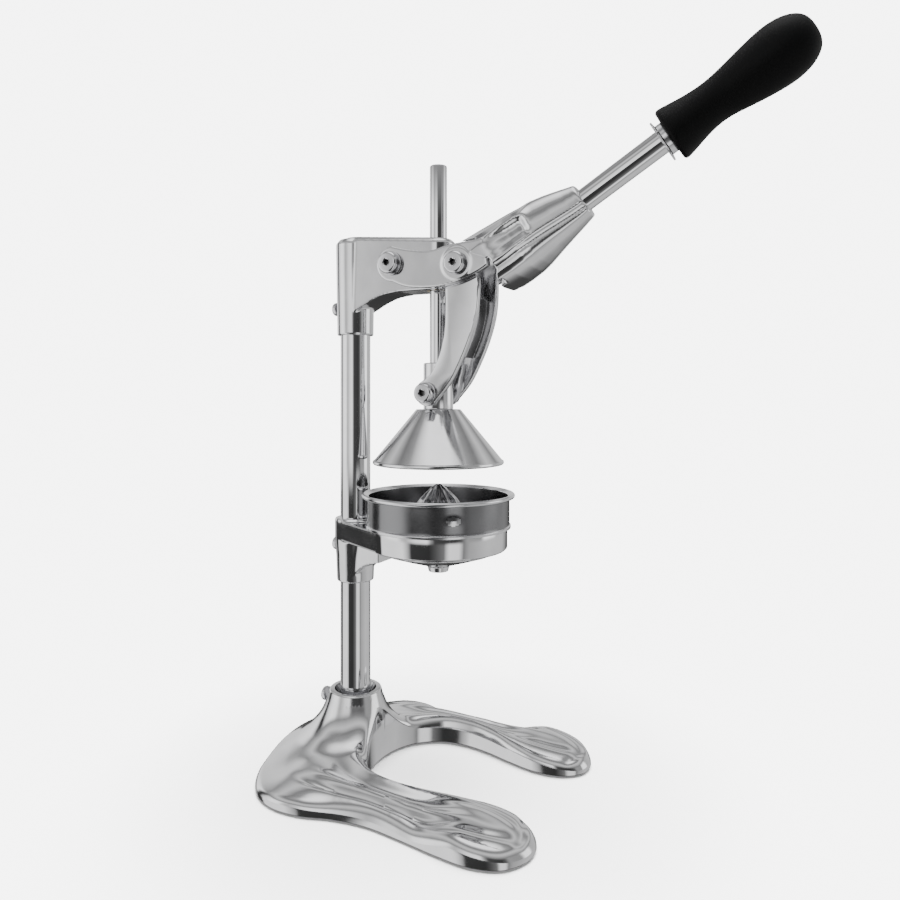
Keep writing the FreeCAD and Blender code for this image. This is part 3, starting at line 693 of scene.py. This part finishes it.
# ---- cup and reamer
# one pressed shell with a rolled rim, round from the foot: inside, rim, outside, bead and foot
CUP_R, ROLL_R = 50.0, 1.6
ROLL = [(52.2 + ROLL_R * math.cos(math.radians(d)), 199.2 + ROLL_R * math.sin(math.radians(d)))
        for d in range(140, -221, -20)]
WALL = [(CUP_R, 195.5 - 0.8 * k) for k in range(19)]
INSIDE = [(39.6, 169.8), (40.8, 178.0), (48.8, 178.0), (48.8, 199.3)]
FOOT = [(CUP_R, 179.3), (50.9, 178.7), (50.9, 176.9), (41.8, 176.7), (40.9, 169.0), (39.6, 169.0)]
CUP_LINE = INSIDE + ROLL + [(CUP_R, 197.6)] + WALL + FOOT
CUP_RADII = [0.4, 1.2, 1.0, 0.8] + [0] * len(ROLL) + [0.3] + [0] * len(WALL) + [0.6, 0.4, 0.4, 0.8, 0.6, 0.3]
DIMPLE = (math.radians(-51.2), 188.3)  # angle and height


def dimpled(a, r, h):
    """A small oval bump pressed outwards in the wall."""
    if not 49.5 < r < 50.3:
        return r
    across = CUP_R * ((a - DIMPLE[0] + math.pi) % (2 * math.pi) - math.pi)
    return r + 0.6 * math.exp(-(across / 4.0) ** 2 - ((h - DIMPLE[1]) / 2.4) ** 2)


cup = lathe("cup_skin", rounded(CUP_LINE, CUP_RADII, 4, closed=True), CUP_SHADED, "stand", segments=260,
            closed=True, shape=dimpled, cad=["strainer_cup"], slot="cup_steel")
# the rolled rim, the bead and the dimple get the much lighter screw steel: partly their brighter polish,
# partly painted highlight against the satin wall, whose dark steel is painted shade
cup.data.materials.append(SCREW)
for face in cup.data.polygons:
    away = math.hypot(face.center.x / MM - ROD_X, face.center.y / MM)
    if away > 50.15 or face.center.z / MM > 198.6:
        face.material_index = 1


def slotted_floor():
    """Floor disc at the foot of the cup with a ring of drain slots."""
    count, parts = 24, 6  # slots, and steps round from one slot to the next
    first, last = 3, 5  # the slots run between these two radii
    seg = count * parts
    radii = [TIP, 20, 28, 31.5, 34.5, 37.5, 39.9]
    verts, faces = [], []
    for z in (170.0, 168.6):
        for r in radii:
            for k in range(seg):
                a = 2 * math.pi * (k + 0.5) / seg
                verts.append((ROD_X + r * math.cos(a), r * math.sin(a), z))
    n = len(radii)

    def at(level, i, k):
        """Corner on the top (0) or under side (1), at radius i and step k."""
        return level * n * seg + i * seg + k % seg

    for i in range(n - 1):
        for k in range(seg):
            if first <= i < last and k % parts == parts - 1:
                continue
            faces.append((at(0, i, k), at(0, i + 1, k), at(0, i + 1, k + 1), at(0, i, k + 1)))
            faces.append((at(1, i, k), at(1, i, k + 1), at(1, i + 1, k + 1), at(1, i + 1, k)))
    for k in range(seg):
        faces.append((at(0, n - 1, k), at(1, n - 1, k), at(1, n - 1, k + 1), at(0, n - 1, k + 1)))
        if k % parts == parts - 1:
            for i in (first, last):
                quad = [at(0, i, k), at(0, i, k + 1), at(1, i, k + 1), at(1, i, k)]
                faces.append(tuple(quad[::-1] if i == last else quad))
            for i in range(first, last):
                faces.append((at(0, i, k), at(1, i, k), at(1, i + 1, k), at(0, i + 1, k)))
                faces.append((at(0, i, k + 1), at(0, i + 1, k + 1), at(1, i + 1, k + 1), at(1, i, k + 1)))
    faces.append(tuple(at(0, 0, k) for k in range(seg)))
    faces.append(tuple(at(1, 0, seg - 1 - k) for k in range(seg)))
    piece("cup_floor", verts, faces, CUP_SHADED, "stand", 30, slot="cup_steel")


slotted_floor()


def ribbed(a, r, h):
    """Ten ribs that run out at the foot and the tip."""
    lobes = 0.5 + 0.5 * math.cos(10 * a)
    depth = 2.4 * smooth_step(np.float64(h), 171.5, 177) * (1 - smooth_step(np.float64(h), 196, 206))
    return max(r - depth * (1 - lobes ** 1.4), TIP)


REAMER = [(TIP, 170.0), (28.8, 170.0), (28.8, 172.4), (27.2, 173.4), (21.8, 184.2), (13, 196.8),
          (6, 203.6), (2.2, 206.5), (TIP, 207)]
lathe("reamer_skin", rounded(REAMER, [0, 0.8, 0.8, 1.2, 12, 12, 6, 2, 0], 8), CAST, "stand", segments=240,
      shape=ribbed, smooth=60, cad=["reamer"], slot="polished_cast")

# ---- press
CONE = [(TIP, 255.9), (13.1, 255.9), (42.6, 222.9), (42.6, 221.5), (43.4, 220.9), (45.3, 220.9),
        (46.2, 221.8), (46.0, 223.3), (44.9, 223.9), (15.6, 259.3), (TIP, 259.4)]
CONE_R = [0, 2, 1, 0.4, 0.5, 0.8, 0.8, 0.6, 1.0, 0.9, 0]
lathe("cone_skin", rounded(CONE, CONE_R, 5), CAST_FLAT, "press", segments=160, cad=["press_cone"],
      slot="polished_cast")
screw_head("cone_screw_head", 6.0, 3.2, (ROD_X, 0, 256.0), (0, 0, -1), 4.0, "press", ["cone_screw"])
POST = [(TIP, 259.4), (10.5, 259.4), (10.5, 291.8), (6.1, 291.8), (TIP, 291.8)]
lathe("post_skin", rounded(POST, [0, 0.5, 1.0, 0, 0], 4), TUBE, "press", cad=["rod_post"],
      slot="polished_cast")
GUIDE_ROD = [(TIP, 277.8), (6.1, 277.8), (6.1, 430.4), (TIP, 430.4)]
lathe("guide_rod_skin", rounded(GUIDE_ROD, [0, 0.3, 0.9, 0], 4), TUBE, "press", cad=["guide_rod"],
      slot="steel_tube")
screw_head("press_bolt_head", 6.9, 5.2, (ROD_X, -19.4, PIN_Z), (0, -1, 0), 4.0, "press", ["press_bolt"])
PRESS_SHANK = [(TIP, -19.4), (BOLT_R, -19.4), (BOLT_R, 24), (TIP, 24)]
lathe("press_shank", PRESS_SHANK, SCREW, "press", (ROD_X, 0, PIN_Z), (0, 1, 0), 48, slot="fastener")
hex_nut("press_nut_skin", 13, 5, (ROD_X, 19.4, PIN_Z), (0, 1, 0), "press", ["press_nut"])
washer_pair("press_washer", 7.6, 18.4, 19.4, ROD_X, PIN_Z, "press")
washer_pair("press_spacer", 6.6, 8.6, 12.8, ROD_X, PIN_Z, "press")

# ---- link
def arc(cx, cz, r, a0, a1, steps=20):
    """Points on a circle from angle a0 to a1, in degrees."""
    return [(cx + r * math.cos(math.radians(a0 + (a1 - a0) * k / steps)),
             cz + r * math.sin(math.radians(a0 + (a1 - a0) * k / steps))) for k in range(steps + 1)]


def bevelled(obj, width, steps=3, angle=40.0):
    """Round off every edge sharper than the angle."""
    take(obj, "BEVEL", "edge", width=width * MM, segments=steps, limit_method="ANGLE",
         angle_limit=math.radians(angle), harden_normals=False)
    return freeze(obj)


def build_link():
    """Two curved side plates joined by a web."""
    front = [(108.6, 356.4), (109.0, 341), (107.6, 325), (103.2, 309), (96.4, 293), (88.2, 278),
             (78.2, 266.4)]
    rear = [(66, 278.7), (73.5, 284.5), (80, 297), (83.8, 313), (84.4, 335), (83.4, 356.4)]
    lower_eye = arc(ROD_X, PIN_Z, 9.0, -27, -244, 26)
    upper_eye = arc(*CRANK, 12.6, 179, 1, 22)
    side = curve_points(front, 40) + lower_eye[1:-1] + curve_points(rear, 32) + upper_eye
    web = curve_points([(102, 336), (101, 325), (96.8, 309.5), (90.5, 295)], 24)
    web += curve_points([(87, 297), (92.9, 311), (97, 325.5), (98, 336)], 24)
    parts = [bevelled(loose("plate", *plate_mesh(side, 13.2, 18.0)), 1.1),
             bevelled(loose("plate", *plate_mesh(side, -18.0, -13.2)), 1.1),
             bevelled(loose("web", *plate_mesh(web, -13.6, 13.6)), 0.9)]
    dress(merged("link_skin", parts), CAST_FLAT, "link", 30, ["link_yoke"])


build_link()

# ---- lever
# sections across the handle axis: (t, top, bottom, half width, side edge height, keel boxiness)
SECTIONS = [(-96, 31.5, -15.5, 24.9, -4.4, 0.3), (-84, 29.4, -17.0, 24.9, -4.8, 0.3),
            (-70, 27.2, -19.0, 24.9, -5.2, 0.3), (-60, 25.5, -19.6, 24.6, -5.4, 0.3),
            (-50, 23.9, -19.4, 24.2, -5.0, 0.28), (-43, 22.8, -18.6, 22.8, -4.6, 0.25),
            (-36, 21.5, -17.4, 20.8, -4.0, 0.2), (-29, 20.1, -16.0, 18.6, -3.7, 0.2),
            (-22, 18.4, -14.9, 16.4, -3.6, 0.15), (-16, 16.5, -13.9, 14.7, -3.5, 0.1),
            (-10, 14.4, -12.8, 13.0, -3.4, 0.1), (-5, 12.6, -11.8, 11.8, -3.2, 0.05),
            (-2.4, 11.7, -11.2, 11.3, -3.0, 0.0), (-1.4, 10.8, -10.5, 10.7, -3.0, 0.0)]


def hull_ring(t, top, bottom, half, waist, boxy):
    """Boat-like section: rounded keel, thin side lip, pocket in the flank, sloping roof."""
    pocket = float(smooth_step(-t, 35, 41) * (1 - smooth_step(-t, 48, 69)))
    gable = float(smooth_step(-t, 30, 40))
    keel_r, keel_n = half - 2.6, waist - 5.0
    power = 0.86 - 0.50 * boxy
    keel_steps = 20
    ring = [(keel_r * math.sin(a) ** power, keel_n - (keel_n - bottom) * math.cos(a) ** power)
            for a in [k / keel_steps * math.pi / 2 for k in range(keel_steps + 1)]]
    ring += [(half - 2.9, waist - 3.4), (half - 1.4, waist - 1.8), (half, waist - 0.7), (half, waist + 0.5)]
    edge = min(12.4, waist + 0.62 * (top - waist))
    mid = 0.5 * (edge + waist)
    side = half - 0.1
    flank = [(side - 1.2 * pocket, waist + 1.8), (side - 3.3 * pocket, mid - 3.0),
             (side - 3.2 * pocket, mid - 2.2), (side - 4.6 * pocket, mid + 2.4),
             (side - 4.5 * pocket, edge - 2.8), (half - 0.6 - 2.4 * pocket, edge - 1.1),
             (half - 1.2 - 1.0 * pocket, edge)]
    roof = [(half - 2.6 - 0.6 * pocket, edge + 1.0), (0.66 * half, top - 0.50 * (top - edge)),
            (0.42 * half, top - 0.20 * (top - edge)), (0.2 * half, top - 0.05 * (top - edge))]
    upper = flank + roof
    # near the neck the gabled upper part gives way to a plain rounded one
    for k, (y, n) in enumerate(upper):
        a = (k + 1) / (len(upper) + 1) * math.pi / 2
        round_y = half * math.cos(a) ** 0.72
        round_n = waist + 0.8 + (top - waist - 0.8) * math.sin(a) ** 0.9
        ring.append((y * gable + round_y * (1 - gable), n * gable + round_n * (1 - gable)))
    whole = ring + [(0.0, top)] + [(-y, n) for y, n in reversed(ring[1:])]
    return [(on_handle(t, n)[0], y, on_handle(t, n)[2]) for y, n in whole]


# XZ outlines that are cut away behind the hull, and where the head, the rod and the link need room
REAR_CUT = [(30, 290), (122.5, 290), (122.5, 339), (124, 350), (119.5, 358), (96, 366), (90, 371),
            (30, 371)]
BEHIND = [(20, 300), (88, 300), (88, 430), (20, 430)]
ROD_ROOM = [(30, 300), (101.5, 300), (101.5, 430), (30, 430)]
SWING_ROOM = [(34, 286), (134.5, 286), (134.5, 322), (129, 338.5), (124.7, 350), (119, 362), (106, 373.2),
              (34, 375)]
CENTRE_ROOM = [(32, 288), (122.5, 288), (122.5, 339), (124, 350), (119, 362), (112, 380), (112, 430),
               (32, 430)]
TONGUE = 12.2  # half width of the belly where it runs between the link's plates
# each ear of the fork is a plate with these edges, from the pivot to the hull
EAR_TOP = [(46, 372.2), (60, 368.6), (76, 366.6), (88, 369.0), (100, 370.2), (108, 370.6), (115, 371.6)]
EAR_LOW = [(119, 353.8), (112, 349.8), (101, 345.6), (87, 342.6), (75, 341.7), (62, 342.6), (54, 344.4),
           (46, 347.8)]


def hull_rows():
    """The sections, with four more worked out between each two."""
    rows = []
    for a, b in zip(SECTIONS, SECTIONS[1:]):
        rows += [tuple(p + (q - p) * k / 5 for p, q in zip(a, b)) for k in range(5)]
    return rows + [SECTIONS[-1]]


def prism(name, outline, half):
    """Solid plate from an XZ outline, as thick on both sides of the middle plane."""
    return loose(name, *plate_mesh(outline, -half, half))


def build_lever():
    """Hull, tongue and fork blended into one casting."""
    hull = loose("hull", *rings_mesh([hull_ring(*row) for row in hull_rows()]))
    hull = minus(hull, prism("rear_cut", REAR_CUT, 40), prism("room", SWING_ROOM, 18.8),
                 prism("rod_room", ROD_ROOM, 8.8), prism("behind", BEHIND, 40), solver="MANIFOLD")
    narrow = [[(x, max(-TONGUE, min(TONGUE, y)), z) for x, y, z in hull_ring(*row)]
              for row in hull_rows() if -84 < row[0] < -48]
    tongue = loose("tongue", *rings_mesh(narrow))
    tongue = minus(tongue, prism("centre_room", CENTRE_ROOM, 15), solver="MANIFOLD")
    ear = curve_points(EAR_TOP, 36) + curve_points(EAR_LOW, 36) + arc(*PIVOT, 12.2, -90, -270, 24)[1:-1]
    parts = [hull, tongue]
    for s in (1, -1):
        parts.append(bevelled(loose("ear", *plate_mesh(ear, *sorted((s * 18.7, s * 24.5)))), 1.5, 3, 50))
        parts.append(disc("boss", 11.0, *sorted((s * 19.0, s * 25.0)), *CRANK))
    lever = cast("lever_skin", parts, voxel=0.55, rounds=11)
    tube_line = [(HUB, -40), (7.55, -40), (7.55, 20), (HUB, 20)]
    tube_hole = solid_lathe("tube_hole", tube_line, on_handle(0), HANDLE_DIR)
    lever = minus(lever, tube_hole, disc("pivot_hole", 6.2, -40, 40, *PIVOT, 0))
    dress(lever, CAST, "lever", 50, ["lever_casting"])


build_lever()
for side, s in (("left", 1), ("right", -1)):
    screw_head("link_screw_head_" + side, 7.7, 5.4, (CRANK[0], s * 24.6, CRANK[1]), (0, s, 0), 4.0,
               "lever", ["link_screw_" + side])

# ---- handle
lathe("handle_tube_skin", [(6.0, -36), (6.0, 130), (7.5, 130), (7.5, -36)], TUBE, "lever", on_handle(0),
      HANDLE_DIR, 96, True, cad=["handle_tube"], slot="steel_tube")


def wavy(a, r, h):
    """Scalloped edge of the washer at the grip's mouth."""
    return r + (0.55 * math.cos(22 * a) if r > 12 else 0.0)


WASHER = [(7.5, 55.4), (13.1, 55.4), (13.1, 56.6), (10.2, 57.0), (10.2, 61.0), (7.5, 61.0)]
lathe("grip_washer_skin", rounded(WASHER, [0, 0.3, 0.3, 0.4, 0.4, 0], 3, closed=True), SCREW, "lever",
      on_handle(0), HANDLE_DIR, 176, True, shape=wavy, cad=["grip_washer"], slot="fastener")

# along the handle: (t, radius)
GRIP_LINE = [(61.0, 15.6), (61.7, 16.7), (63.2, 17.2), (66, 16.9), (71, 16.0), (77, 14.9), (84, 14.0),
             (91, 13.6), (98, 13.9), (106, 14.9), (114, 16.1), (122, 17.2), (129, 17.9), (135, 17.9),
             (141, 17.0), (146, 15.2), (150, 12.6), (152.6, 9.4), (153.8, 5.6), (154.1, TIP)]
grip_profile = [(7.6, 60.9)] + [(max(r, TIP), t) for t, r in curve_points(GRIP_LINE, 120)]
# angle of the grip's finger side, in the handle's own turned frame
finger_side = Vector((math.sin(HANDLE), 0, -math.cos(HANDLE)))
finger_side = frame_at(*on_handle(0), HANDLE_DIR).to_3x3().inverted() @ finger_side
FINGERS = math.atan2(finger_side.y, finger_side.x)


def grip_shape(a, r, h):
    """Slightly deeper waist on the finger side."""
    below = 0.5 + 0.5 * math.cos(a - FINGERS)
    dip = math.exp(-((h - 88) / 17) ** 2)
    return max(r - 1.5 * dip * below ** 1.5, TIP)


lathe("grip_skin", grip_profile, GRIP, "lever", on_handle(0), HANDLE_DIR, 144, shape=grip_shape, smooth=60,
      cad=["grip"], slot="grip")

# ---- CAD nodes that keep their shape
PADS = ["pad_front_left", "pad_front_right", "pad_rear_left", "pad_rear_right", "pad_middle"]
BUSHES = ["pivot_bush_left", "pivot_bush_right", "link_bush_left", "link_bush_right"]
for name, mat in [(name, PAD) for name in PADS] + [(name, BRASS) for name in BUSHES]:
    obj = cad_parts[name]
    obj.data.materials.clear()
    obj.data.materials.append(mat)

# ---- floor
FLOOR_R, FLOOR_FADE = 0.26, 0.13  # metres; the disc fades out over its last part


def build_floor():
    """Pale disc that takes the object's soft shadow and fades into the background."""
    mat, tree, skin = nodes_of("pale_floor")
    pale = [(0.3, (0.90, 0.90, 0.90, 1)), (0.7, (0.93, 0.93, 0.93, 1))]
    tree.links.new(ramp(tree, noise(tree, place(tree), 3.0), pale), skin.inputs["Base Color"])
    skin.inputs["Roughness"].default_value = 0.7
    skin.inputs["Specular IOR Level"].default_value = 0.1
    reach = add(tree, "ShaderNodeVectorMath", operation="LENGTH")
    tree.links.new(place(tree), reach.inputs[0])
    fade = add(tree, "ShaderNodeMapRange", interpolation_type="SMOOTHSTEP", From_Min=FLOOR_R - FLOOR_FADE,
               From_Max=FLOOR_R, To_Min=1.0, To_Max=0.0)
    tree.links.new(reach.outputs["Value"], fade.inputs["Value"])
    tree.links.new(fade.outputs["Result"], skin.inputs["Alpha"])
    mesh = bpy.data.meshes.new("floor")
    rim = [(FLOOR_R * math.cos(k / 32 * math.pi), FLOOR_R * math.sin(k / 32 * math.pi), 0) for k in range(64)]
    mesh.from_pydata(rim, [], [tuple(range(64))])
    mesh.materials.append(mat)
    floor = bpy.data.objects.new("floor", mesh)
    floor.location = (0.06, 0, 0)
    floor.visible_glossy = False
    bpy.context.scene.collection.objects.link(floor)


build_floor()

# ---- studio
AZIMUTH = math.radians(26.9)  # the camera looks this far round from straight along +Y
PEAK = 3.0  # strength of a ramp's white
BACKDROP = 6.4  # strength of the plain background that the camera sees
# (degrees round from the camera's side towards the grip's side, strength)
WALLS = [(-180, 1.0), (-150, 1.3), (-130, 2.0), (-122, 0.05), (-114, 0.04), (-105, 1.5), (-86, 2.3),
         (-70, 2.1), (-60, 1.0), (-54, 0.8), (-46, 1.1), (-36, 1.6), (-18, 1.9), (-12, 0.5), (-5, 0.08),
         (28, 0.06), (38, 0.14), (48, 0.5), (74, 0.45), (82, 2.2), (102, 2.4), (110, 0.7), (140, 0.9),
         (180, 1.0)]
BELOW = [(-180, 0.06), (-155, 0.08), (-132, 0.8), (-126, 0.05), (-108, 0.05), (-104, 1.6), (-60, 1.7),
         (-52, 0.9), (-44, 0.06), (-14, 0.05), (-4, 0.12), (10, 0.25), (18, 1.5), (34, 1.5), (42, 0.3),
         (52, 0.6), (90, 0.9), (130, 0.8), (155, 0.08), (180, 0.06)]
# (sine of the height above the horizon, strength)
DOME = [(0.30, 0.45), (0.42, 0.34), (0.54, 0.80), (0.62, 1.1), (0.76, 0.28), (0.86, 0.50), (0.92, 1.6),
        (0.96, 2.4), (1.0, 2.2)]


def by_degrees(tree, source, stops):
    """Ramp round the compass, where 0.5 is the camera's side."""
    return ramp(tree, source, [(0.5 + a / 360, level / PEAK) for a, level in stops])


def arithmetic(tree, operation, value, *constants):
    """Math node on a value, with its other inputs set to constants."""
    node = add(tree, "ShaderNodeMath", operation=operation)
    tree.links.new(value, node.inputs[0])
    for socket, constant in zip(node.inputs[1:], constants):
        socket.default_value = constant
    return node.outputs[0]


def blend(tree, factor, low, high):
    """Colour between two others."""
    node = add(tree, "ShaderNodeMix", data_type="RGBA")
    tree.links.new(factor, node.inputs["Factor"])
    tree.links.new(low, node.inputs[6])
    tree.links.new(high, node.inputs[7])
    return node.outputs[2]


def build_studio():
    """Surround of soft bright and dark bands for the metal to reflect, behind a plain background."""
    world = bpy.data.worlds.new("studio")
    bpy.context.scene.world = world
    world.use_nodes = True
    tree = world.node_tree
    tree.nodes.clear()
    coord = tree.nodes.new("ShaderNodeTexCoord")
    split = tree.nodes.new("ShaderNodeSeparateXYZ")
    tree.links.new(coord.outputs["Generated"], split.inputs["Vector"])
    turn = add(tree, "ShaderNodeMath", operation="ARCTAN2")
    tree.links.new(split.outputs["Y"], turn.inputs[0])
    tree.links.new(split.outputs["X"], turn.inputs[1])
    # two whole turns more keep the angle positive
    spin = arithmetic(tree, "ADD", turn.outputs[0], -math.pi / 2 - AZIMUTH + 4 * math.pi)
    compass = arithmetic(tree, "FRACT", arithmetic(tree, "DIVIDE", spin, 2 * math.pi))
    height = split.outputs["Z"]
    half = arithmetic(tree, "MULTIPLY_ADD", height, 0.5, 0.5)
    down = ramp(tree, half, [(0.0, 1.0), (0.435, 1.0), (0.455, 0.0)])
    lift = ramp(tree, height, [(0.0, 0.0), (0.30, 0.0), (0.42, 1.0)])
    dome = ramp(tree, height, [(z, level / PEAK) for z, level in DOME])
    round_about = blend(tree, down, by_degrees(tree, compass, WALLS), by_degrees(tree, compass, BELOW))
    studio = add(tree, "ShaderNodeBackground", Strength=PEAK)
    tree.links.new(blend(tree, lift, round_about, dome), studio.inputs["Color"])
    plain = add(tree, "ShaderNodeBackground", Strength=BACKDROP)
    plain.inputs["Color"].default_value = (1, 1, 1, 1)
    seen = tree.nodes.new("ShaderNodeLightPath")
    swap = tree.nodes.new("ShaderNodeMixShader")
    tree.links.new(seen.outputs["Is Camera Ray"], swap.inputs["Fac"])
    tree.links.new(studio.outputs[0], swap.inputs[1])
    tree.links.new(plain.outputs[0], swap.inputs[2])
    out = tree.nodes.new("ShaderNodeOutputWorld")
    tree.links.new(swap.outputs[0], out.inputs["Surface"])


def softbox(name, at, towards, size, power):
    """Square area light that no metal reflects."""
    light = bpy.data.lights.new(name, "AREA")
    light.shape = "SQUARE"
    light.size = size
    light.energy = power
    obj = bpy.data.objects.new(name, light)
    obj.location = at
    obj.rotation_euler = (Vector(towards) - Vector(at)).to_track_quat("-Z", "Y").to_euler()
    obj.visible_glossy = False
    bpy.context.scene.collection.objects.link(obj)


build_studio()
softbox("overhead", (0.2, 0.1, 1.9), (0.08, 0, 0.2), 1.6, 230)

# ---- camera
# level, and shifted down a little to frame the object
camera = bpy.data.cameras.new("camera")
camera.sensor_width = 36
camera.lens = 29.74
camera.shift_y = -0.0610333
view = bpy.data.objects.new("camera", camera)
view.location = (0.3143, -0.4635, 0.26926)
view.rotation_euler = (math.pi / 2, 0, AZIMUTH)
bpy.context.scene.collection.objects.link(view)
bpy.context.scene.camera = view

bpy.context.view_layer.update()
